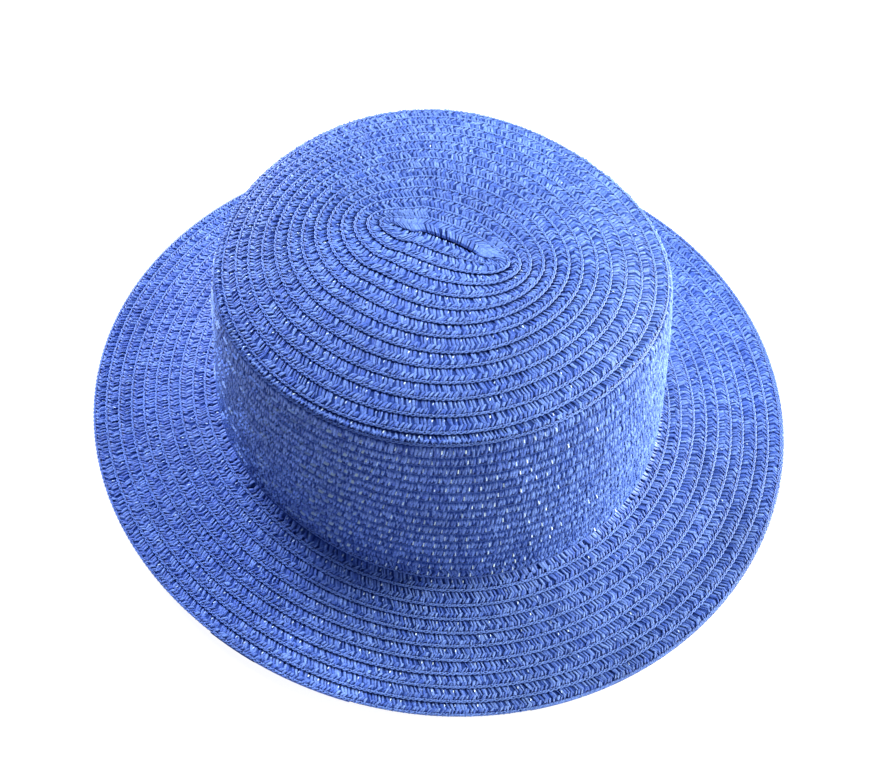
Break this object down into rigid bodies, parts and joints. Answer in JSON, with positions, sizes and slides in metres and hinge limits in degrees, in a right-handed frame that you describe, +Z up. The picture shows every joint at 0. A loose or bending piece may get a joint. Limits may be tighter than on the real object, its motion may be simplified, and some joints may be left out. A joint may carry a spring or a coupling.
{
  "type": "straw sun hat",
  "caption": "Flat-topped straw sun hat with a wide drooping brim, sewn from one spiral braid and hollow for the head.",
  "frame": {"origin": "on the surface the hat rests on, under the middle of the brim", "axes": "+Z up through the crown, +X along the head's long axis"},
  "size_m": [0.3024, 0.2872, 0.1046],
  "materials": {
    "blue_straw": "satin sewn straw braid"
  },
  "bodies": {
    "root": {"crown_tip": "blue_straw", "crown_side": "blue_straw", "brim": "blue_straw"}
  },
  "joints": []
}
